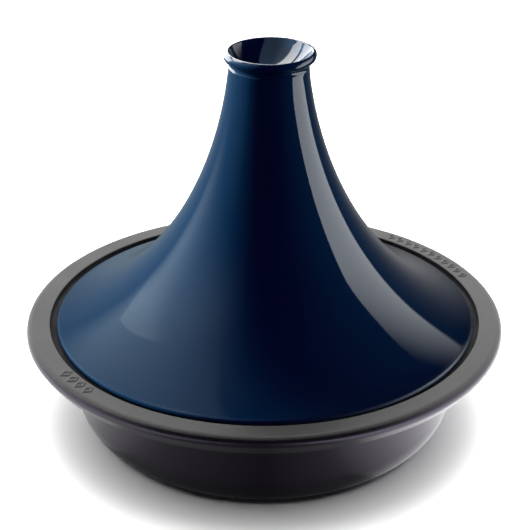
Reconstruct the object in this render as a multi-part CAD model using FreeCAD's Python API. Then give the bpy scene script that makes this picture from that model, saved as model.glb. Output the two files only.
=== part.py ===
import FreeCAD, Part
import math
import os

# Tagine pot: a shallow cast-iron dish with a wide flat rim, and a tall hollow stoneware lid
# that rests in a step sunk into the rim. The lid isn't fastened: it lifts straight off.
# Millimetres, +Z up. The origin is the centre of the dish's underside, and +Z is the pot's axis.

Vector = FreeCAD.Vector
AXIS = Vector(0, 0, 1)
ORIGIN = Vector(0, 0, 0)

# The dish, from its overall size inwards
RIM_RADIUS = 160.0              # half the pot's overall width
DISH_HEIGHT = 77.5              # underside to the flat top of the rim
RIM_DEPTH = 13.2                # flat top of the rim to the lower edge of its turned-down lip
RIM_EDGE_ROUND = 4.5            # rounding between the flat top and the lip's outer face
LIP_LEAN = math.radians(36.2)   # how far the lip's outer face leans in from the vertical
LIP_FOOT_WIDTH = 5.5            # thickness of the lip at its lower edge
WEB_THICKNESS = 4.5             # metal under the step, between the wall and the lip
SEAT_RADIUS = 144.4             # mouth of the step that the lid sits in
SEAT_DEPTH = 3.5
SEAT_TAPER = 0.8                # how much narrower the step is at its floor
WALL_TOP_RADIUS = 133.0         # outside of the wall, where it meets the web
WALL_DRAFT = math.radians(6.0)
WALL_THICKNESS = 4.2
FLOOR_THICKNESS = 4.5
BASE_CORNER_ROUND = 28.0
FOOT_INNER_RADIUS = 86.0        # the dish stands on the flat ring outside this radius
FOOT_LIFT = 1.0                 # how far the middle of the underside is raised

# The lid
LID_RADIUS = 139.8
LID_NOSE_ROUND = 1.8            # rounding of the lid's edge
LID_FOOT_INNER_RADIUS = 131.0
FLANK_FOOT_SLOPE = math.radians(20.6)       # above the horizontal, at the lid's edge
FLANK_NECK_SLOPE = math.radians(5.7)        # from the vertical, at the neck
FLANK_FOOT_PULL = 71.0          # how far each end's direction carries into the curve
FLANK_NECK_PULL = 72.0
NECK_RADIUS = 25.6
NECK_HEIGHT = 174.0             # all heights of the lid's parts are above the rim's flat top
INNER_FOOT_SLOPE = math.radians(23.5)
INNER_NECK_SLOPE = math.radians(10.9)
INNER_FOOT_PULL = 65.8
INNER_NECK_PULL = 63.1
INNER_NECK_RADIUS = 23.05
INNER_NECK_HEIGHT = 150.0
INNER_TOP_HEIGHT = 162.5        # crown of the hollow inside the lid

# The knob: a rolled lip round a shallow round-bottomed cup
KNOB_LIP_RADIUS = 26.0          # centre of the lip's rounded outer face
KNOB_LIP_ROUND = 3.4
KNOB_LIP_HEIGHT = 181.5
KNOB_CREST_ROUND = 1.2          # rounding between the lip's outer face and the cup
KNOB_CREST_ANGLE = math.radians(55.0)       # how far round the outer face the crest starts
KNOB_COVE_DEPTH = 0.9           # depth of the groove between the lip and the neck
CUP_BOTTOM_HEIGHT = 169.0

# Raised lozenges cast on the rim: (first angle, last angle, count, centre radius, length, width)
LOZENGE_ROWS = [
    (214.0, 223.6, 4, 150.4, 9.6, 7.0),
    (21.0, 51.0, 11, 150.8, 8.4, 6.4),
]
LOZENGE_HEIGHT = 0.6
LOZENGE_ROOT = 1.0              # how far each lozenge reaches down into the rim


def at(radius, height):
    """A point of the half-section, in the XZ plane."""
    return Vector(radius, 0, height)


def line(start, end):
    return Part.LineSegment(start, end).toShape()


def arc(start, middle, end):
    return Part.Arc(start, middle, end).toShape()


def rounded_outline(corners):
    """Straight runs through (radius, height, rounding) corners, with an arc at each rounded one."""
    points = [at(radius, height) for radius, height, _ in corners]
    edges = []
    start = points[0]
    for i in range(1, len(points) - 1):
        corner = points[i]
        rounding = corners[i][2]
        back = (points[i - 1] - corner).normalize()
        ahead = (points[i + 1] - corner).normalize()
        half_angle = back.getAngle(ahead) / 2
        setback = rounding / math.tan(half_angle)
        reach = rounding / math.sin(half_angle) - rounding
        bisector = (back + ahead).normalize()
        arc_start = corner + back * setback
        arc_end = corner + ahead * setback
        edges.append(line(start, arc_start))
        edges.append(arc(arc_start, corner + bisector * reach, arc_end))
        start = arc_end
    edges.append(line(start, points[-1]))
    return edges


def turned(edges):
    """The solid swept by a closed half-section, once round the axis."""
    section = Part.Face(Part.Wire(Part.__sortEdges__(edges)))
    solid = section.revolve(ORIGIN, AXIS, 360)
    if solid.Volume < 0:
        solid.reverse()
    return solid


def dish_corners():
    """The dish's half-section, from the centre of the underside out, over the rim and in."""
    lip_bottom = DISH_HEIGHT - RIM_DEPTH
    seat = DISH_HEIGHT - SEAT_DEPTH
    web_bottom = seat - WEB_THICKNESS
    draft = math.tan(WALL_DRAFT)
    wall_across = WALL_THICKNESS / math.cos(WALL_DRAFT)
    lean = math.tan(LIP_LEAN)
    # The rounded outer edge just reaches RIM_RADIUS, which places the leaning face below it.
    edge_centre = RIM_RADIUS - RIM_EDGE_ROUND
    lip_radius = edge_centre + RIM_EDGE_ROUND / math.cos(LIP_LEAN) - (RIM_DEPTH - RIM_EDGE_ROUND) * lean
    outer_at_base = WALL_TOP_RADIUS - web_bottom * draft
    inner_at_seat = WALL_TOP_RADIUS + WEB_THICKNESS * draft - wall_across
    inner_at_floor = WALL_TOP_RADIUS - (web_bottom - FLOOR_THICKNESS) * draft - wall_across
    return [
        (0.0, FOOT_LIFT, 0.0),
        (FOOT_INNER_RADIUS - 2 * FOOT_LIFT, FOOT_LIFT, 1.0),
        (FOOT_INNER_RADIUS, 0.0, 1.0),
        (outer_at_base, 0.0, BASE_CORNER_ROUND),
        (WALL_TOP_RADIUS, web_bottom, 4.0),
        (lip_radius - LIP_FOOT_WIDTH, web_bottom, 2.5),
        (lip_radius - LIP_FOOT_WIDTH, lip_bottom, 1.5),
        (lip_radius, lip_bottom, 0.8),
        (lip_radius + RIM_DEPTH * lean, DISH_HEIGHT, RIM_EDGE_ROUND),
        (SEAT_RADIUS, DISH_HEIGHT, 1.0),
        (SEAT_RADIUS - SEAT_TAPER, seat, 1.0),
        (inner_at_seat, seat, 2.0),
        (inner_at_floor, FLOOR_THICKNESS, BASE_CORNER_ROUND - WALL_THICKNESS),
        (0.0, FLOOR_THICKNESS, 0.0),
    ]


def lozenge(angle, radius, length, width):
    """One raised lozenge on the rim, pointing along the radius at an angle in degrees."""
    bottom = DISH_HEIGHT - LOZENGE_ROOT
    points = [
        Vector(radius - length / 2, 0, bottom),
        Vector(radius, -width / 2, bottom),
        Vector(radius + length / 2, 0, bottom),
        Vector(radius, width / 2, bottom),
    ]
    face = Part.Face(Part.makePolygon(points + points[:1]))
    solid = face.extrude(Vector(0, 0, LOZENGE_ROOT + LOZENGE_HEIGHT))
    solid.rotate(ORIGIN, AXIS, angle)
    return solid


def lozenge_row(first, last, count, radius, length, width):
    pitch = (last - first) / (count - 1)
    return [lozenge(first + i * pitch, radius, length, width) for i in range(count)]


def base_dish():
    """The cast-iron dish, with its raised lozenges cast on."""
    corners = dish_corners()
    edges = rounded_outline(corners)
    edges.append(line(at(0, FLOOR_THICKNESS), at(0, FOOT_LIFT)))
    raised = []
    for row in LOZENGE_ROWS:
        raised += lozenge_row(*row)
    return turned(edges).fuse(raised).removeSplitter()


def flank(foot, foot_slope, foot_pull, neck, neck_slope, neck_pull):
    """A flaring flank from a foot up to a neck, as one smooth curve."""
    curve = Part.BezierCurve()
    foot_handle = foot + at(-math.cos(foot_slope), math.sin(foot_slope)) * foot_pull
    neck_handle = neck + at(math.sin(neck_slope), -math.cos(neck_slope)) * neck_pull
    curve.setPoles([foot, foot_handle, neck_handle, neck])
    return curve.toShape()


def nose_edges(seat):
    """The lid's flat foot and rounded edge, and the point where its flank starts."""
    centre = at(LID_RADIUS - LID_NOSE_ROUND, seat + LID_NOSE_ROUND)
    bottom = centre + at(0, -LID_NOSE_ROUND)
    outermost = centre + at(LID_NOSE_ROUND, 0)
    top = centre + at(math.sin(FLANK_FOOT_SLOPE), math.cos(FLANK_FOOT_SLOPE)) * LID_NOSE_ROUND
    return [line(at(LID_FOOT_INNER_RADIUS, seat), bottom), arc(bottom, outermost, top)], top


def knob_edges(neck):
    """The cove above the neck, the rolled lip, and the cup down to the axis."""
    cup_bottom = DISH_HEIGHT + CUP_BOTTOM_HEIGHT
    lip = at(KNOB_LIP_RADIUS, DISH_HEIGHT + KNOB_LIP_HEIGHT)
    lip_bottom = lip + at(0, -KNOB_LIP_ROUND)
    lip_outer = lip + at(KNOB_LIP_ROUND, 0)
    cove = (neck + lip_bottom) * 0.5 + at(-KNOB_COVE_DEPTH, 0)
    # The crest's smaller rounding carries on from the outer face without a break.
    outward = at(math.cos(KNOB_CREST_ANGLE), math.sin(KNOB_CREST_ANGLE))
    crest = lip + outward * (KNOB_LIP_ROUND - KNOB_CREST_ROUND)
    crest_start = lip + outward * KNOB_LIP_ROUND
    crest_top = crest + at(0, KNOB_CREST_ROUND)
    # The cup is part of a sphere centred on the axis, and it meets the crest smoothly.
    low = KNOB_CREST_ROUND - cup_bottom
    centre_height = (crest.x ** 2 + crest.z ** 2 - low ** 2) / (2 * (crest.z + low))
    cup_radius = centre_height - cup_bottom
    spread = math.atan2(crest.x, centre_height - crest.z)
    cup_edge = at(cup_radius * math.sin(spread), centre_height - cup_radius * math.cos(spread))
    cup_middle = at(cup_radius * math.sin(spread / 2), centre_height - cup_radius * math.cos(spread / 2))
    return [
        arc(neck, cove, lip_bottom),
        arc(lip_bottom, lip_outer, crest_start),
        arc(crest_start, crest_top, cup_edge),
        arc(cup_edge, cup_middle, at(0, cup_bottom)),
    ]


def crown_edges(inner_neck):
    """The domed top of the hollow, from its neck to the axis."""
    crown = DISH_HEIGHT + INNER_TOP_HEIGHT
    rise = crown - inner_neck.z
    dome_radius = (INNER_NECK_RADIUS ** 2 + rise ** 2) / (2 * rise)
    spread = math.asin(INNER_NECK_RADIUS / dome_radius) / 2
    middle = at(dome_radius * math.sin(spread), crown - dome_radius * (1 - math.cos(spread)))
    return [arc(at(0, crown), middle, inner_neck)]


def conical_lid():
    """The hollow stoneware lid, with its knob thrown in one piece with it."""
    seat = DISH_HEIGHT - SEAT_DEPTH
    neck = at(NECK_RADIUS, DISH_HEIGHT + NECK_HEIGHT)
    inner_neck = at(INNER_NECK_RADIUS, DISH_HEIGHT + INNER_NECK_HEIGHT)
    inner_foot = at(LID_FOOT_INNER_RADIUS, seat)
    edges, flank_start = nose_edges(seat)
    edges.append(flank(flank_start, FLANK_FOOT_SLOPE, FLANK_FOOT_PULL, neck, FLANK_NECK_SLOPE, FLANK_NECK_PULL))
    edges += knob_edges(neck)
    edges.append(line(at(0, DISH_HEIGHT + CUP_BOTTOM_HEIGHT), at(0, DISH_HEIGHT + INNER_TOP_HEIGHT)))
    edges += crown_edges(inner_neck)
    edges.append(
        flank(inner_foot, INNER_FOOT_SLOPE, INNER_FOOT_PULL, inner_neck, INNER_NECK_SLOPE, INNER_NECK_PULL)
    )
    return turned(edges)


NODES = {
    "base_dish": base_dish,
    "conical_lid": conical_lid,
}

os.makedirs("parts", exist_ok=True)
for name, build in NODES.items():
    shape = build()
    shape.exportStep("parts/" + name + ".step")
    box = shape.optimalBoundingBox()
    print(name, "valid", shape.isValid(), "solids", len(shape.Solids), "volume_cm3", round(shape.Volume / 1000, 1))
    print("  z", round(box.ZMin, 2), round(box.ZMax, 2), "half width", round(box.XMax, 2))
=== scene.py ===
import math

import bpy
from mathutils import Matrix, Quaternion, Vector


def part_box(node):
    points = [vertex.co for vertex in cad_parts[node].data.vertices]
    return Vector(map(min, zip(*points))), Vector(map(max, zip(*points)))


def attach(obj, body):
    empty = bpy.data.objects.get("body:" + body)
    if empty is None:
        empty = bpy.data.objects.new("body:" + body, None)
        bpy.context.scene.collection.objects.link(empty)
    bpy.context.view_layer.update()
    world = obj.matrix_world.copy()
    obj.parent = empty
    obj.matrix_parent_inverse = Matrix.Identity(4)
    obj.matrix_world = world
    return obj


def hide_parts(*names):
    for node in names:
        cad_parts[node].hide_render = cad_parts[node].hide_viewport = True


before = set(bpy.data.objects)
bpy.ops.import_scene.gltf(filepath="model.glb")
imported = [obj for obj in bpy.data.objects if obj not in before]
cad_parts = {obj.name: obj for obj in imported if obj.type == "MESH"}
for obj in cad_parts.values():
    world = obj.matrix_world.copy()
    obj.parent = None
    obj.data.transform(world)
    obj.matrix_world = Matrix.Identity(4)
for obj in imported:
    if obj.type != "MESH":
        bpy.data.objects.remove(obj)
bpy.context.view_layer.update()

# Tagine pot: a matt cast-iron dish and a glossy navy stoneware lid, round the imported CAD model.
# Both pieces are turned shapes, so each is a half-section of (radius, height) points swept once
# round the axis. Metres throughout, in the CAD model's frame: +Z is the pot's axis, -Y its front.

MM = 0.001
_, dish_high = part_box("base_dish")
lid_low, lid_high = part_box("conical_lid")

# Read from the frame
RIM_RADIUS = dish_high.x
LID_RADIUS = lid_high.x
SEAT_HEIGHT = lid_low.z
KNOB_TOP = lid_high.z

# The dish
SEAT_DEPTH = 3.5 * MM
RIM_HEIGHT = SEAT_HEIGHT + SEAT_DEPTH
RIM_DEPTH = 13.2 * MM
RIM_EDGE_ROUND = 4.5 * MM
BARE_RIM_DROP = 1.1 * MM           # how far the ground rim top reaches down over its rounded edge
LIP_LEAN = math.radians(36.2)
LIP_FOOT_WIDTH = 5.5 * MM
LIP_INNER_ROUND = 1.5 * MM
LIP_OUTER_ROUND = 0.8 * MM
LIP_FILLET = 2.5 * MM
WEB_THICKNESS = 4.5 * MM
WEB_FILLET = 4.0 * MM
SEAT_RADIUS = 144.4 * MM
SEAT_TAPER = 0.8 * MM
SEAT_ROUND = 1.0 * MM
WALL_TOP_RADIUS = 133.0 * MM
WALL_TOP_ROUND = 2.0 * MM
WALL_DRAFT = math.radians(6.0)
WALL_THICKNESS = 4.2 * MM
FLOOR_THICKNESS = 4.5 * MM
BASE_CORNER_ROUND = 28.0 * MM
FOOT_INNER_RADIUS = 86.0 * MM
FOOT_LIFT = 1.0 * MM
FOOT_ROUND = 1.0 * MM

# The lid
NOSE_ROUND = 1.8 * MM
FOOT_WIDTH = 8.8 * MM
BARE_FOOT_HEIGHT = 0.2 * MM        # the glaze is wiped off below this
DRY_EDGE_LOW = 2.4 * MM            # the glaze is dry up to this height above the seat
DRY_EDGE_HIGH = 4.4 * MM           # and glossy from this height up
FLANK_FOOT_SLOPE = math.radians(20.6)
FLANK_NECK_SLOPE = math.radians(5.7)
FLANK_FOOT_PULL = 71.0 * MM
FLANK_NECK_PULL = 72.0 * MM
FLANK_STEPS = 110
NECK_RADIUS = 25.6 * MM
NECK_HEIGHT = 174.0 * MM
INNER_FOOT_SLOPE = math.radians(23.5)
INNER_NECK_SLOPE = math.radians(10.9)
INNER_FOOT_PULL = 65.8 * MM
INNER_NECK_PULL = 63.1 * MM
INNER_FLANK_STEPS = 56
INNER_NECK_RADIUS = 23.05 * MM
INNER_NECK_HEIGHT = 150.0 * MM
INNER_TOP_HEIGHT = 162.5 * MM
LIP_RADIUS = 26.0 * MM
LIP_ROUND = 3.4 * MM
CREST_ROUND = 1.2 * MM
CREST_ANGLE = math.radians(55.0)
COVE_DEPTH = 0.9 * MM
CUP_DEPTH = 15.5 * MM

# The lid was thrown a little out of true: its axis drifts towards +X as it rises.
LEAN_AT_EDGE = 0.4 * MM
LEAN_OF_FLANK = 2.4 * MM
LEAN_HEIGHT = 25.0 * MM
LEAN_OF_KNOB = 1.2 * MM
LEANING_KNOB_HEIGHT = 20.0 * MM

# Raised lozenges on the rim: (first angle, last angle, count, centre radius, length, width)
LOZENGE_ROWS = [
    (214.0, 223.6, 4, 150.4 * MM, 9.6 * MM, 7.0 * MM),
    (21.0, 51.0, 11, 150.8 * MM, 8.4 * MM, 6.4 * MM),
]
LOZENGE_HEIGHT = 0.6 * MM
LOZENGE_LINE = 1.3 * MM
LOZENGE_BEVEL = 0.35 * MM
LOZENGE_MARGIN = 2.2               # degrees of fine mesh before and after each row

# Meshes
COARSE_SEGMENTS = 256
FINE_STEP = 0.17                   # degrees
FINE_RIM_STEP = 0.45 * MM
FLAT_TOLERANCE = 0.01 * MM
SEAT_MARGIN = 0.1 * MM
FLAT_FACE_WEIGHT = 70

# The studio
FLOOR_RADIUS = 3.0
FLOOR_CURVE = 1.2
FLOOR_WALL_HEIGHT = 4.0
FLOOR_SEGMENTS = 96
FLOOR_GLOW_START = 0.5             # metres from the pot
FLOOR_GLOW_FULL = 1.2
COOL_WHITE = (0.78, 0.95, 1.0)
BRIGHT_COOL_WHITE = (0.94, 0.98, 1.0)
SKY_BLUE = (0.45, 0.72, 1.0)
DEEP_BLUE = (0.1, 0.05, 1.0)
BACKGROUND = (0.016, 0.016, 0.018)

# The floor's bounce: its shares of the level run from BOUNCE_REACH left of the axis to as far right
BOUNCE_RADIUS = 1.2
BOUNCE_DROP = 1.0 * MM
BOUNCE_LEVEL = 3.2
BOUNCE_REACH = 0.3
BOUNCE_SHARES = [(0.0, 0.7), (0.2, 0.42), (0.32, 0.12), (0.5, 0.04), (0.62, 0.12), (0.74, 0.7), (0.85, 1.0)]
BOUNCE_SHADOW = (0.12, 0.155)      # radii where the pot's shadow starts to end, and has ended
BOUNCE_IN_SHADOW = 0.15
BOUNCE_BESIDE_POT = (0.08, 0.16)   # shares where the shadow starts to lift, and has lifted

# The dome round the dish: it dims towards DIM_WAY, between the two shares of DIM_EDGE
DOME_RADIUS = 2.0
DOME_BRIGHT = 2.0
DOME_DIM = 0.08
DIM_WAY = (0.0, -0.8, 0.55)
DIM_EDGE = (0.2, 0.7)

# The camera
CAMERA_DISTANCE = 1.040
CAMERA_ELEVATION = math.radians(28.083)
CAMERA_DIP = math.radians(1.719)
CAMERA_ASIDE = 0.44 * MM
CAMERA_LENS = 104.1
CAMERA_SENSOR = 36.0


# ---------------------------------------------------------------- half-sections

def straight(start, end, steps):
    """Points after the start, up to the end."""
    return [start.lerp(end, i / steps) for i in range(1, steps + 1)]


def arc(centre, radius, start, end, steps):
    """Points of an arc after its start; angles are in radians above the horizontal."""
    points = []
    for i in range(1, steps + 1):
        angle = start + (end - start) * i / steps
        points.append(centre + Vector((math.cos(angle), math.sin(angle))) * radius)
    return points


def heading(vector):
    """The angle of a vector in radians above the horizontal."""
    return math.atan2(vector.y, vector.x)


def arc_through(start, middle, end, steps):
    """Points after the start of the arc through three points."""
    a = middle - start
    b = end - start
    cross = 2 * (a.x * b.y - a.y * b.x)
    centre = start + Vector((
        (b.y * a.length_squared - a.y * b.length_squared) / cross,
        (a.x * b.length_squared - b.x * a.length_squared) / cross,
    ))
    first = heading(start - centre)
    last = heading(end - centre)
    full_turn = 2 * math.pi
    turn = (last - first) % full_turn
    if (heading(middle - centre) - first) % full_turn > turn:
        turn -= full_turn
    return arc(centre, (start - centre).length, first, first + turn, steps)


def rounded_corner(before, corner, after, rounding, steps):
    """The arc that rounds a corner off, both ends included."""
    back = (before - corner).normalized()
    ahead = (after - corner).normalized()
    half_angle = back.angle(ahead) / 2
    start = corner + back * (rounding / math.tan(half_angle))
    centre = corner + (back + ahead).normalized() * (rounding / math.sin(half_angle))
    first = heading(start - centre)
    turn = math.pi - 2 * half_angle
    if back.x * ahead.y - back.y * ahead.x > 0:
        turn = -turn
    return [start] + arc(centre, rounding, first, first + turn, steps)


def rounded_section(corners):
    """Points through (radius, height, rounding, steps) corners; steps 0 is a sharp point."""
    places = [Vector(corner[:2]) for corner in corners]
    points = []
    for i, (_, _, rounding, steps) in enumerate(corners):
        if steps == 0:
            points.append(places[i])
        else:
            points += rounded_corner(places[i - 1], places[i], places[i + 1], rounding, steps)
    return points


def divided(points, low, high, longest):
    """The same section, with its runs between two radii cut into short steps."""
    result = [points[0]]
    for start, end in zip(points, points[1:]):
        inside = min(start.x, end.x) >= low and max(start.x, end.x) <= high
        steps = math.ceil((end - start).length / longest) if inside else 1
        result += straight(start, end, steps)
    return result


def flank(foot, foot_slope, foot_pull, neck, neck_slope, neck_pull, steps):
    """A flaring flank from a foot up to a neck, as points after the foot."""
    foot_handle = foot + Vector((-math.cos(foot_slope), math.sin(foot_slope))) * foot_pull
    neck_handle = neck + Vector((math.sin(neck_slope), -math.cos(neck_slope))) * neck_pull
    points = []
    for i in range(1, steps + 1):
        t = i / steps
        s = 1 - t
        points.append(
            foot * s ** 3 + foot_handle * 3 * s * s * t + neck_handle * 3 * s * t * t + neck * t ** 3
        )
    return points


def dish_section():
    """The dish's half-section, from the axis out under its foot, over the rim and back inside."""
    lip_bottom = RIM_HEIGHT - RIM_DEPTH
    web_bottom = SEAT_HEIGHT - WEB_THICKNESS
    draft = math.tan(WALL_DRAFT)
    wall_across = WALL_THICKNESS / math.cos(WALL_DRAFT)
    lean = math.tan(LIP_LEAN)
    edge_centre = RIM_RADIUS - RIM_EDGE_ROUND
    lip_radius = edge_centre + RIM_EDGE_ROUND / math.cos(LIP_LEAN) - (RIM_DEPTH - RIM_EDGE_ROUND) * lean
    outer_at_base = WALL_TOP_RADIUS - web_bottom * draft
    inner_at_seat = WALL_TOP_RADIUS + WEB_THICKNESS * draft - wall_across
    inner_at_floor = WALL_TOP_RADIUS - (web_bottom - FLOOR_THICKNESS) * draft - wall_across
    corners = [
        (0.0, FOOT_LIFT, 0.0, 0),
        (FOOT_INNER_RADIUS - 2 * FOOT_LIFT, FOOT_LIFT, FOOT_ROUND, 3),
        (FOOT_INNER_RADIUS, 0.0, FOOT_ROUND, 3),
        (outer_at_base, 0.0, BASE_CORNER_ROUND, 20),
        (WALL_TOP_RADIUS, web_bottom, WEB_FILLET, 8),
        (lip_radius - LIP_FOOT_WIDTH, web_bottom, LIP_FILLET, 6),
        (lip_radius - LIP_FOOT_WIDTH, lip_bottom, LIP_INNER_ROUND, 5),
        (lip_radius, lip_bottom, LIP_OUTER_ROUND, 6),
        (lip_radius + RIM_DEPTH * lean, RIM_HEIGHT, RIM_EDGE_ROUND, 14),
        (SEAT_RADIUS, RIM_HEIGHT, SEAT_ROUND, 6),
        (SEAT_RADIUS - SEAT_TAPER, SEAT_HEIGHT, SEAT_ROUND, 5),
        (inner_at_seat, SEAT_HEIGHT, WALL_TOP_ROUND, 6),
        (inner_at_floor, FLOOR_THICKNESS, BASE_CORNER_ROUND - WALL_THICKNESS, 18),
        (0.0, FLOOR_THICKNESS, 0.0, 0),
    ]
    return rounded_section(corners)


def lid_hollow():
    """The hollow's half-section, from its crown on the axis down to the inside of the lid's foot."""
    neck = Vector((INNER_NECK_RADIUS, RIM_HEIGHT + INNER_NECK_HEIGHT))
    foot = Vector((LID_RADIUS - FOOT_WIDTH, SEAT_HEIGHT))
    crown = RIM_HEIGHT + INNER_TOP_HEIGHT
    rise = crown - neck.y
    dome_radius = (INNER_NECK_RADIUS ** 2 + rise ** 2) / (2 * rise)
    dome_spread = math.asin(INNER_NECK_RADIUS / dome_radius)
    dome_centre = Vector((0, crown - dome_radius))
    points = [Vector((0, crown))]
    points += arc(dome_centre, dome_radius, math.pi / 2, math.pi / 2 - dome_spread, 10)
    upward = flank(
        foot, INNER_FOOT_SLOPE, INNER_FOOT_PULL, neck, INNER_NECK_SLOPE, INNER_NECK_PULL, INNER_FLANK_STEPS
    )
    # The flank's last point is the neck, which the dome has already reached
    return points + upward[-2::-1] + [foot]


def knob_section(neck):
    """The cove above the neck, the rolled lip, its crest, and the cup down to the axis."""
    outward = Vector((math.cos(CREST_ANGLE), math.sin(CREST_ANGLE)))
    crest_out = outward * (LIP_ROUND - CREST_ROUND)
    crest = Vector((LIP_RADIUS + crest_out.x, KNOB_TOP - CREST_ROUND))
    lip = crest - crest_out
    lip_bottom = lip - Vector((0, LIP_ROUND))
    cove = (neck + lip_bottom) / 2 - Vector((COVE_DEPTH, 0))
    # The cup is part of a sphere centred on the axis, and it meets the crest smoothly
    cup_bottom = KNOB_TOP - CUP_DEPTH
    low = CREST_ROUND - cup_bottom
    centre_height = (crest.x ** 2 + crest.y ** 2 - low ** 2) / (2 * (crest.y + low))
    cup_radius = centre_height - cup_bottom
    spread = math.atan2(crest.x, centre_height - crest.y)
    points = arc_through(neck, cove, lip_bottom, 12)
    points += arc(lip, LIP_ROUND, -math.pi / 2, CREST_ANGLE, 20)
    points += arc(crest, CREST_ROUND, CREST_ANGLE, math.pi / 2 + spread, 10)
    points += arc(Vector((0, centre_height)), cup_radius, spread - math.pi / 2, -math.pi / 2, 30)
    return points


def lid_section():
    """The lid's half-section, from the crown of its hollow down, round its edge and up to the cup."""
    neck = Vector((NECK_RADIUS, RIM_HEIGHT + NECK_HEIGHT))
    nose_centre = Vector((LID_RADIUS - NOSE_ROUND, SEAT_HEIGHT + NOSE_ROUND))
    points = lid_hollow()
    points += straight(points[-1], nose_centre - Vector((0, NOSE_ROUND)), 2)
    points += arc(nose_centre, NOSE_ROUND, -math.pi / 2, math.pi / 2 - FLANK_FOOT_SLOPE, 14)
    points += flank(
        points[-1], FLANK_FOOT_SLOPE, FLANK_FOOT_PULL, neck, FLANK_NECK_SLOPE, FLANK_NECK_PULL, FLANK_STEPS
    )
    points += knob_section(neck)
    return points


# ---------------------------------------------------------------- turned meshes

def even_angles(count):
    """Angles in degrees, evenly round a circle."""
    return [i * 360 / count for i in range(count)]


def dish_angles():
    """Angles in degrees round the dish: close together only where the lozenges are."""
    angles = {round(angle, 4) for angle in even_angles(COARSE_SEGMENTS)}
    for first, last, *_ in LOZENGE_ROWS:
        start = first - LOZENGE_MARGIN
        steps = round((last - first + 2 * LOZENGE_MARGIN) / FINE_STEP)
        after = start + (steps + 1) * FINE_STEP
        angles = {angle for angle in angles if not start - FINE_STEP < angle < after}
        angles |= {round(start + i * FINE_STEP, 4) for i in range(steps + 1)}
    return sorted(angles)


def smooth_step(share):
    """A share eased in and out."""
    return share * share * (3 - 2 * share)


def limited(share):
    return max(0.0, min(1.0, share))


def lozenge_relief(radius, angle):
    """How far the rim stands up at a place, for the hollow lozenges cast on it."""
    for first, last, count, centre_radius, length, width in LOZENGE_ROWS:
        if not first - LOZENGE_MARGIN < angle < last + LOZENGE_MARGIN:
            continue
        pitch = (last - first) / (count - 1)
        nearest = min(max(round((angle - first) / pitch), 0), count - 1)
        across = math.radians(angle - first - nearest * pitch) * radius
        along = radius - centre_radius
        # Distance inside the lozenge's outline
        slant = math.hypot(length, width) / (length * width)
        inside = (1 - abs(along) / (length / 2) - abs(across) / (width / 2)) / (2 * slant)
        outline = min(inside, LOZENGE_LINE - inside)
        dot = LOZENGE_LINE / 2 - math.hypot(along, across)
        return LOZENGE_HEIGHT * smooth_step(limited(max(outline, dot) / LOZENGE_BEVEL))
    return 0.0


def lid_lean(height):
    """How far the lid's axis has drifted towards +X at a height."""
    rise = max(0.0, height - RIM_HEIGHT)
    knob = limited((height - KNOB_TOP + LEANING_KNOB_HEIGHT) / LEANING_KNOB_HEIGHT)
    return LEAN_AT_EDGE + LEAN_OF_FLANK * (1 - math.exp(-rise / LEAN_HEIGHT)) + LEAN_OF_KNOB * knob * knob


def upright_place(radius, angle, height):
    """A vertex of a true turned shape."""
    turn = math.radians(angle)
    return (radius * math.cos(turn), radius * math.sin(turn), height)


def dish_place(radius, angle, height):
    """A vertex of the dish, with the relief on the rim's flat top."""
    on_rim = height > RIM_HEIGHT - FLAT_TOLERANCE and SEAT_RADIUS < radius < RIM_RADIUS
    lift = lozenge_relief(radius, angle) if on_rim else 0.0
    return upright_place(radius, angle, height + lift)


def lid_place(radius, angle, height):
    """A vertex of the lid, with the drift of its axis."""
    x, y, z = upright_place(radius, angle, height)
    return (x + lid_lean(height), y, z)


def turned_mesh(name, section, angles, place):
    """The section swept round the axis; a point of no radius becomes one vertex on the axis.
    Faces look to the right of the way that the section runs."""
    vertices = []
    rings = []
    for point in section:
        around = angles if point.x > 0 else [0.0]
        rings.append([len(vertices) + j for j in range(len(around))])
        vertices += [place(point.x, angle, point.y) for angle in around]
    faces = []
    for first, second in zip(rings, rings[1:]):
        for j in range(len(angles)):
            k = (j + 1) % len(angles)
            if len(first) == 1:
                faces.append((first[0], second[k], second[j]))
            elif len(second) == 1:
                faces.append((first[k], second[0], first[j]))
            else:
                faces.append((first[k], second[k], second[j], first[j]))
    mesh = bpy.data.meshes.new(name)
    mesh.from_pydata(vertices, [], faces)
    mesh.shade_smooth()
    return mesh


# ---------------------------------------------------------------- shader nodes

def new_material(name):
    """A new material, its node tree and its main shader."""
    material = bpy.data.materials.new(name)
    material.use_nodes = True
    return material, material.node_tree, material.node_tree.nodes["Principled BSDF"]


def object_coordinates(tree):
    return tree.nodes.new("ShaderNodeTexCoord").outputs["Object"]


def object_axes(tree):
    """The object's own coordinates, as outputs named X, Y and Z."""
    axes = tree.nodes.new("ShaderNodeSeparateXYZ")
    tree.links.new(object_coordinates(tree), axes.inputs[0])
    return axes.outputs


def distance_from_origin(tree):
    length = tree.nodes.new("ShaderNodeVectorMath")
    length.operation = "LENGTH"
    tree.links.new(object_coordinates(tree), length.inputs[0])
    return length.outputs["Value"]


def noise_texture(tree, vector, scale, detail, roughness=0.5):
    """Noise whose features are about 1 / scale metres wide."""
    node = tree.nodes.new("ShaderNodeTexNoise")
    node.inputs["Scale"].default_value = scale
    node.inputs["Detail"].default_value = detail
    node.inputs["Roughness"].default_value = roughness
    tree.links.new(vector, node.inputs["Vector"])
    return node.outputs["Fac"]


def colour_ramp(tree, value, stops):
    """A ramp through (place, grey or colour) stops."""
    node = tree.nodes.new("ShaderNodeValToRGB")
    ramp = node.color_ramp
    while len(ramp.elements) < len(stops):
        ramp.elements.new(0.5)
    for element, (place, colour) in zip(ramp.elements, stops):
        element.position = place
        element.color = (*colour, 1.0) if isinstance(colour, tuple) else (colour, colour, colour, 1.0)
    tree.links.new(value, node.inputs["Fac"])
    return node.outputs["Color"]


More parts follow.
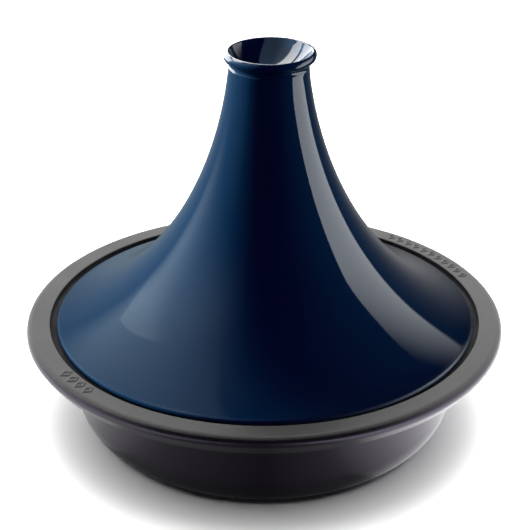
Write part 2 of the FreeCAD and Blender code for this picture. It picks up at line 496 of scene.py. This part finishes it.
def remap(tree, value, low, high, new_low, new_high, shape="LINEAR"):
    """A value carried from one range to another, and held at the ends."""
    node = tree.nodes.new("ShaderNodeMapRange")
    node.interpolation_type = shape
    node.inputs["From Min"].default_value = low
    node.inputs["From Max"].default_value = high
    node.inputs["To Min"].default_value = new_low
    node.inputs["To Max"].default_value = new_high
    tree.links.new(value, node.inputs["Value"])
    return node.outputs["Result"]


def calculated(tree, operation, first, second):
    """Two values put together by a math operation."""
    node = tree.nodes.new("ShaderNodeMath")
    node.operation = operation
    tree.links.new(first, node.inputs[0])
    tree.links.new(second, node.inputs[1])
    return node.outputs[0]


def mixed(tree, share, colour, other):
    """A colour with a share of another, plain colour in it."""
    node = tree.nodes.new("ShaderNodeMix")
    node.data_type = "RGBA"
    tree.links.new(share, node.inputs[0])
    tree.links.new(colour, node.inputs[6])
    node.inputs[7].default_value = (*other, 1.0)
    return node.outputs[2]


def bump(tree, heights):
    """Bumps stacked on each other, from (height output, depth in metres) pairs."""
    normal = None
    for height, depth in heights:
        node = tree.nodes.new("ShaderNodeBump")
        node.inputs["Strength"].default_value = 1.0
        node.inputs["Distance"].default_value = depth
        tree.links.new(height, node.inputs["Height"])
        if normal is not None:
            tree.links.new(normal, node.inputs["Normal"])
        normal = node.outputs["Normal"]
    return normal


# ---------------------------------------------------------------- the pot's materials

def glaze_material():
    """Deep navy glaze, glassy and slightly uneven."""
    material, tree, shader = new_material("navy_glaze")
    place = object_coordinates(tree)
    cloud = noise_texture(tree, place, 14.0, 3.0)
    colour = colour_ramp(tree, cloud, [(0.3, (0.0012, 0.029, 0.082)), (0.7, (0.0018, 0.035, 0.097))])
    speck = noise_texture(tree, place, 900.0, 1.0)
    specks = colour_ramp(tree, speck, [(0.72, 0.0), (0.8, 0.35)])
    colour = mixed(tree, specks, colour, (0.004, 0.01, 0.03))
    tree.links.new(colour, shader.inputs["Base Color"])
    gloss = remap(tree, noise_texture(tree, place, 60.0, 4.0), 0.3, 0.7, 0.03, 0.055)
    # The glaze is wiped thin and dry round the edge that sits in the dish
    height = object_axes(tree)["Z"]
    dry = remap(tree, height, SEAT_HEIGHT + DRY_EDGE_LOW, SEAT_HEIGHT + DRY_EDGE_HIGH, 0.5, 0.0)
    tree.links.new(calculated(tree, "MAXIMUM", gloss, dry), shader.inputs["Roughness"])
    shader.inputs["IOR"].default_value = 1.5
    ripple = noise_texture(tree, place, 22.0, 1.0)
    pimple = noise_texture(tree, place, 300.0, 2.0)
    tree.links.new(bump(tree, [(ripple, 0.12 * MM), (pimple, 0.004 * MM)]), shader.inputs["Normal"])
    return material


def bare_stoneware_material():
    """Unglazed fired clay, on the ring that the lid rests on."""
    material, tree, shader = new_material("bare_stoneware")
    place = object_coordinates(tree)
    blotch = noise_texture(tree, place, 90.0, 4.0)
    colour = colour_ramp(tree, blotch, [(0.35, (0.42, 0.34, 0.25)), (0.65, (0.55, 0.47, 0.37))])
    grit = colour_ramp(tree, noise_texture(tree, place, 1500.0, 2.0), [(0.6, 0.0), (0.72, 0.8)])
    colour = mixed(tree, grit, colour, (0.16, 0.11, 0.08))
    tree.links.new(colour, shader.inputs["Base Color"])
    shader.inputs["Roughness"].default_value = 0.85
    grain = noise_texture(tree, place, 1800.0, 3.0)
    tree.links.new(bump(tree, [(grain, 0.06 * MM)]), shader.inputs["Normal"])
    return material


def enamel_material():
    """Satin black enamel with a hint of purple, over finely grained cast iron."""
    material, tree, shader = new_material("satin_black_enamel")
    place = object_coordinates(tree)
    cloud = noise_texture(tree, place, 30.0, 4.0, 0.6)
    colour = colour_ramp(tree, cloud, [(0.3, (0.006, 0.0035, 0.0095)), (0.7, (0.009, 0.0055, 0.013))])
    tree.links.new(colour, shader.inputs["Base Color"])
    shader.inputs["Specular Tint"].default_value = (0.84, 0.74, 1.0, 1.0)
    roughness = remap(tree, cloud, 0.3, 0.7, 0.24, 0.3)
    tree.links.new(roughness, shader.inputs["Roughness"])
    orange_peel = noise_texture(tree, place, 260.0, 3.0, 0.6)
    grain = noise_texture(tree, place, 1300.0, 2.0, 0.6)
    heights = [(orange_peel, 0.02 * MM), (grain, 0.006 * MM)]
    tree.links.new(bump(tree, heights), shader.inputs["Normal"])
    return material


def seat_painted_shade_material():
    """Dull black with little shine in the rim's recess under the lid's edge: painted shade, for the shade
    that the lid casts there.
    """
    material, tree, shader = new_material("seat_painted_shade_black")
    place = object_coordinates(tree)
    cloud = noise_texture(tree, place, 45.0, 3.0, 0.6)
    colour = colour_ramp(tree, cloud, [(0.3, (0.006, 0.005, 0.008)), (0.7, (0.011, 0.01, 0.013))])
    tree.links.new(colour, shader.inputs["Base Color"])
    roughness = remap(tree, cloud, 0.3, 0.7, 0.55, 0.7)
    tree.links.new(roughness, shader.inputs["Roughness"])
    # Little shine here, so that the recess stays dark: painted shade.
    shader.inputs["Specular IOR Level"].default_value = 0.12
    grain = noise_texture(tree, place, 1100.0, 2.0, 0.6)
    tree.links.new(bump(tree, [(grain, 0.02 * MM)]), shader.inputs["Normal"])
    return material


def bare_rim_material():
    """The rim's flat top: ground flat, so greyer and drier than the enamel, with a fine sandy grain."""
    material, tree, shader = new_material("grey_rim_top")
    place = object_coordinates(tree)
    cloud = noise_texture(tree, place, 35.0, 4.0, 0.6)
    colour = colour_ramp(tree, cloud, [(0.3, (0.08, 0.079, 0.076)), (0.7, (0.09, 0.089, 0.087))])
    grain = noise_texture(tree, place, 1100.0, 2.0, 0.6)
    dark_grain = colour_ramp(tree, grain, [(0.4, 0.5), (0.6, 0.0)])
    colour = mixed(tree, dark_grain, colour, (0.05, 0.049, 0.048))
    tree.links.new(colour, shader.inputs["Base Color"])
    roughness = remap(tree, cloud, 0.3, 0.7, 0.4, 0.48)
    tree.links.new(roughness, shader.inputs["Roughness"])
    tree.links.new(bump(tree, [(grain, 0.012 * MM)]), shader.inputs["Normal"])
    return material


# ---------------------------------------------------------------- the pot's pieces

def piece(name, mesh, materials, group):
    """A new object of the pot, with its materials, and normals that keep its flats flat."""
    made = bpy.data.objects.new(name, mesh)
    group.objects.link(made)
    for material in materials:
        mesh.materials.append(material)
    weighted = made.modifiers.new("flat_faces_shade_flat", "WEIGHTED_NORMAL")
    weighted.mode = "FACE_AREA"
    weighted.weight = FLAT_FACE_WEIGHT
    return made


def build_dish(group):
    """The dish: enamel, but a ground rim top, and a dull recess whose darkness is painted shade under the
    lid.
    """
    section = divided(dish_section(), SEAT_RADIUS, RIM_RADIUS - RIM_EDGE_ROUND, FINE_RIM_STEP)
    mesh = turned_mesh("cast_iron_dish", section, dish_angles(), dish_place)
    materials = [enamel_material(), bare_rim_material(), seat_painted_shade_material()]
    dish = piece("cast_iron_dish", mesh, materials, group)
    for polygon in mesh.polygons:
        radius = polygon.center.xy.length
        if polygon.center.z > RIM_HEIGHT - BARE_RIM_DROP and radius > SEAT_RADIUS:
            polygon.material_index = 1
        # The recess under the lid's edge gets the dull dark material: painted shade.
        elif polygon.center.z > SEAT_HEIGHT - SEAT_MARGIN and radius < SEAT_RADIUS + SEAT_MARGIN:
            polygon.material_index = 2
    dish.visible_glossy = False         # the studio lights alone show in the glaze
    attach(dish, "dish")
    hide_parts("base_dish")


def build_lid(group):
    """The lid: glazed, but bare on the ring that it rests on."""
    mesh = turned_mesh("stoneware_lid", lid_section(), even_angles(COARSE_SEGMENTS), lid_place)
    lid = piece("stoneware_lid", mesh, [glaze_material(), bare_stoneware_material()], group)
    for polygon in mesh.polygons:
        if polygon.center.z < SEAT_HEIGHT + BARE_FOOT_HEIGHT:
            polygon.material_index = 1
    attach(lid, "lid")
    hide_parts("conical_lid")


# ---------------------------------------------------------------- stage and lights

def light_group(name):
    """A collection that lights can be limited to."""
    group = bpy.data.collections.new(name)
    bpy.context.scene.collection.children.link(group)
    return group


def floor_material():
    """White paper; far from the pot it glows a little, so that it stays white out to the wall."""
    material, tree, shader = new_material("white_paper")
    shader.inputs["Base Color"].default_value = (0.9, 0.9, 0.9, 1.0)
    shader.inputs["Roughness"].default_value = 1.0
    shader.inputs["Specular IOR Level"].default_value = 0.0
    shader.inputs["Emission Color"].default_value = (1.0, 1.0, 1.0, 1.0)
    glow = remap(tree, distance_from_origin(tree), FLOOR_GLOW_START, FLOOR_GLOW_FULL, 0.0, 1.0)
    tree.links.new(glow, shader.inputs["Emission Strength"])
    return material


def studio_floor():
    """A round white floor that curves up into a wall on every side."""
    curve_centre = Vector((FLOOR_RADIUS - FLOOR_CURVE, FLOOR_CURVE))
    section = [Vector((FLOOR_RADIUS, FLOOR_WALL_HEIGHT)), Vector((FLOOR_RADIUS, FLOOR_CURVE))]
    section += arc(curve_centre, FLOOR_CURVE, 0, -math.pi / 2, 12)
    section += straight(section[-1], Vector((0, 0)), 6)
    mesh = turned_mesh("studio_floor", section, even_angles(FLOOR_SEGMENTS), upright_place)
    mesh.materials.append(floor_material())
    floor = bpy.data.objects.new("studio_floor", mesh)
    floor.visible_diffuse = False
    floor.visible_glossy = False
    floor.visible_shadow = False
    return floor


def soft_sun(name, azimuth, elevation, angle, strength, lit, colour=(1.0, 1.0, 1.0)):
    """A wide sun that brings out plain colour without shine, on what is in one collection.
    Angles are in degrees, and azimuth runs from +Y towards +X."""
    light = bpy.data.lights.new(name, "SUN")
    light.angle = math.radians(angle)
    light.energy = strength
    light.color = colour
    sun = bpy.data.objects.new(name, light)
    bpy.context.scene.collection.objects.link(sun)
    sun.rotation_euler = (math.radians(90 - elevation), 0.0, math.radians(180 - azimuth))
    sun.visible_glossy = False
    sun.light_linking.receiver_collection = lit


def glowing_material(name):
    """A clear material that only glows, with its tree, and the emission that its strength is linked to."""
    material = bpy.data.materials.new(name)
    material.use_nodes = True
    tree = material.node_tree
    tree.nodes.clear()
    emission = tree.nodes.new("ShaderNodeEmission")
    clear = tree.nodes.new("ShaderNodeBsdfTransparent")
    both = tree.nodes.new("ShaderNodeAddShader")
    output = tree.nodes.new("ShaderNodeOutputMaterial")
    tree.links.new(emission.outputs[0], both.inputs[0])
    tree.links.new(clear.outputs[0], both.inputs[1])
    tree.links.new(both.outputs[0], output.inputs["Surface"])
    return material, tree, emission


def screen_material(name, size, fades, level, colour):
    """The glow of a screen, which fades out smoothly towards each of its sides."""
    material, tree, emission = glowing_material(name)
    axes = object_axes(tree)
    glow = None
    for axis, width, (low_fade, high_fade) in zip("XY", size, (fades[:2], fades[2:])):
        for side, faded_in in ((-0.5, low_fade - 0.5), (0.5, 0.5 - high_fade)):
            share = remap(tree, axes[axis], side * width, faded_in * width, 0.0, 1.0, "SMOOTHSTEP")
            glow = share if glow is None else calculated(tree, "MULTIPLY", glow, share)
    tree.links.new(remap(tree, glow, 0.0, 1.0, 0.0, level), emission.inputs["Strength"])
    emission.inputs["Color"].default_value = (*colour, 1.0)
    return material


def shining_only(name, mesh, lit):
    """A panel that shows only as a reflection, and only on the pieces in one collection."""
    panel = bpy.data.objects.new(name, mesh)
    bpy.context.scene.collection.objects.link(panel)
    panel.visible_camera = False
    panel.visible_shadow = False
    panel.visible_diffuse = False
    panel.light_linking.receiver_collection = lit
    return panel


def soft_panel(name, centre, facing, roll, size, fades, level, lit, colour=(1.0, 1.0, 1.0), top_left=None):
    """A glowing screen; facing is the way it shines, and a level of 1 is as bright as white shows.
    Fades are the shares of its width and height over which its left, right, bottom and top fade out.
    Its top left corner can be cut off along a line through some places."""
    x, y = Vector(size) / 2
    corners = [(-x, -y), (x, -y), (x, y), *(top_left or [(-x, y)])]
    mesh = bpy.data.meshes.new(name)
    mesh.from_pydata([(*corner, 0) for corner in corners], [], [range(len(corners))])
    mesh.materials.append(screen_material(name, size, fades, level, colour))
    panel = shining_only(name, mesh, lit)
    panel.location = centre
    panel.rotation_mode = "QUATERNION"
    turn = Quaternion((0, 0, 1), math.radians(roll))
    panel.rotation_quaternion = Vector(facing).to_track_quat("Z", "Y") @ turn


def turned_panel(name, section, lit):
    """A glowing screen swept round the pot's axis, and the tree and emission of its material."""
    mesh = turned_mesh(name, section, even_angles(FLOOR_SEGMENTS), upright_place)
    material, tree, emission = glowing_material(name)
    mesh.materials.append(material)
    shining_only(name, mesh, lit)
    return tree, emission


def floor_bounce(lit):
    """The light that the white floor throws back up: dim in front of the pot, most of all in its shadow."""
    section = [Vector((BOUNCE_RADIUS, -BOUNCE_DROP)), Vector((0, -BOUNCE_DROP))]
    tree, emission = turned_panel("floor_bounce_panel", section, lit)
    across = remap(tree, object_axes(tree)["X"], -BOUNCE_REACH, BOUNCE_REACH, 0.0, 1.0)
    share = colour_ramp(tree, across, BOUNCE_SHARES)
    out_of_shadow = remap(tree, distance_from_origin(tree), *BOUNCE_SHADOW, BOUNCE_IN_SHADOW, 1.0)
    beside_pot = remap(tree, share, *BOUNCE_BESIDE_POT, 0.0, 1.0)
    lit_share = calculated(tree, "MAXIMUM", out_of_shadow, beside_pot)
    glow = remap(tree, calculated(tree, "MULTIPLY", share, lit_share), 0.0, 1.0, 0.0, BOUNCE_LEVEL)
    tree.links.new(glow, emission.inputs["Strength"])


def white_dome(lit):
    """The bright studio all round, dim only high up in front."""
    section = [Vector((0, DOME_RADIUS))] + arc(Vector((0, 0)), DOME_RADIUS, math.pi / 2, 0, 24)
    tree, emission = turned_panel("dome_panel", section, lit)
    towards = tree.nodes.new("ShaderNodeVectorMath")
    towards.operation = "DOT_PRODUCT"
    tree.links.new(object_coordinates(tree), towards.inputs[0])
    towards.inputs[1].default_value = DIM_WAY
    low, high = (edge * DOME_RADIUS for edge in DIM_EDGE)
    glow = remap(tree, towards.outputs["Value"], low, high, DOME_BRIGHT, DOME_DIM)
    tree.links.new(glow, emission.inputs["Strength"])


def light_floor(lit):
    """Suns from above and from three sides, whose shadows of the pot overlap softly on the floor."""
    soft_sun("overhead_near_sun", azimuth=0.0, elevation=90.0, angle=36.0, strength=2.3, lit=lit)
    soft_sun("overhead_wide_sun", azimuth=0.0, elevation=90.0, angle=84.0, strength=4.6, lit=lit)
    soft_sun("left_floor_sun", azimuth=-60.0, elevation=40.0, angle=60.0, strength=1.1, lit=lit)
    soft_sun("right_floor_sun", azimuth=60.0, elevation=40.0, angle=60.0, strength=1.1, lit=lit)
    soft_sun("back_floor_sun", azimuth=0.0, elevation=45.0, angle=60.0, strength=1.0, lit=lit)


def light_dish(lit):
    """One sun for the rim's grey top, and the white floor and studio shining in the enamel."""
    soft_sun("back_rim_sun", azimuth=-45.0, elevation=35.0, angle=60.0, strength=1.8, lit=lit)
    floor_bounce(lit)
    white_dome(lit)


def light_lid(lit):
    """Suns that bring out the glaze's blue, and the screens that shine in it."""
    soft_sun("left_body_sun", azimuth=-70.0, elevation=14.0, angle=14.0, strength=6.5, lit=lit)
    soft_sun("right_body_sun", azimuth=80.0, elevation=0.0, angle=20.0, strength=1.5, lit=lit)
    soft_sun(
        "front_body_sun", azimuth=180.0, elevation=40.0, angle=120.0, strength=0.35, lit=lit, colour=DEEP_BLUE
    )
    soft_panel(
        "left_key_panel", centre=(-0.652, 0.303, 1.123), facing=(0.853, 0.099, -0.512), roll=-32.1,
        size=(2.41, 2.04), fades=(0.91, 0.26, 0.26, 1.0), level=2.0, lit=lit, colour=COOL_WHITE,
    )
    soft_panel(
        "left_softbox_panel", centre=(-2.146, 1.242, 1.18), facing=(0.857, 0.515, 0.0), roll=0.0,
        size=(2.90, 1.20), fades=(0.33, 0.15, 0.57, 0.02), level=0.72, lit=lit, colour=COOL_WHITE,
    )
    soft_panel(
        "left_fill_panel", centre=(-0.348, 0.128, 0.66), facing=(0.891, -0.443, -0.099), roll=82.5,
        size=(1.77, 2.11), fades=(0.23, 0.17, 0.15, 0.93), level=0.46, lit=lit, colour=COOL_WHITE,
    )
    soft_panel(
        "right_key_panel", centre=(1.0506, -0.0087, 0.3698), facing=(-0.662, -0.669, 0.339), roll=-52.1,
        size=(1.61, 1.07), fades=(0.48, 0.03, 0.03, 0.03), level=3.5, lit=lit, colour=BRIGHT_COOL_WHITE,
        top_left=[(-0.235, 0.535), (-0.495, 0.19), (-0.765, -0.04), (-0.805, -0.2)],
    )
    soft_panel(
        "right_fill_panel", centre=(0.494, 1.112, -0.085), facing=(-0.881, -0.066, 0.469), roll=-24.3,
        size=(2.96, 1.75), fades=(0.54, 0.88, 0.46, 0.57), level=0.45, lit=lit,
    )
    # Two panes of a window and a patch of sky, which shine in the cup
    soft_panel(
        "upper_window_panel", centre=(-0.0615, 0.083, 0.3706), facing=(0.561, -0.718, -0.413), roll=0.0,
        size=(0.218, 0.07), fades=(0.06, 0.06, 0.1, 0.1), level=8.0, lit=lit,
    )
    soft_panel(
        "lower_window_panel", centre=(-0.0867, 0.1154, 0.2804), facing=(0.561, -0.718, -0.413), roll=0.0,
        size=(0.218, 0.1145), fades=(0.06, 0.06, 0.06, 0.06), level=6.5, lit=lit,
    )
    soft_panel(
        "cup_sky_panel", centre=(-0.0135, 0.01, 0.317), facing=(0.0, 0.0, -1.0), roll=0.0,
        size=(0.067, 0.087), fades=(0.05, 0.05, 0.05, 0.05), level=0.75, lit=lit, colour=SKY_BLUE,
    )


def make_background():
    """A nearly black world beyond the stage, and colours shown as they are."""
    world = bpy.data.worlds.new("studio")
    world.use_nodes = True
    world.node_tree.nodes["Background"].inputs["Color"].default_value = (*BACKGROUND, 1.0)
    bpy.context.scene.world = world
    bpy.context.scene.view_settings.view_transform = "Standard"


def make_camera():
    """A long lens looking along +Y, a little above the rim's centre."""
    data = bpy.data.cameras.new("camera")
    data.lens = CAMERA_LENS
    data.sensor_width = CAMERA_SENSOR
    camera = bpy.data.objects.new("camera", data)
    bpy.context.scene.collection.objects.link(camera)
    back = -CAMERA_DISTANCE * math.cos(CAMERA_ELEVATION)
    up = CAMERA_DISTANCE * math.sin(CAMERA_ELEVATION)
    camera.location = (CAMERA_ASIDE, back, RIM_HEIGHT + up)
    camera.rotation_euler = (math.pi / 2 - CAMERA_ELEVATION + CAMERA_DIP, 0.0, 0.0)
    bpy.context.scene.camera = camera


# ---------------------------------------------------------------- the scene

dish_set = light_group("dish_set")
lid_set = light_group("lid_set")
stage_set = light_group("stage_set")
build_dish(dish_set)
build_lid(lid_set)
stage_set.objects.link(studio_floor())
light_floor(stage_set)
light_lid(lid_set)
light_dish(dish_set)
make_background()
make_camera()
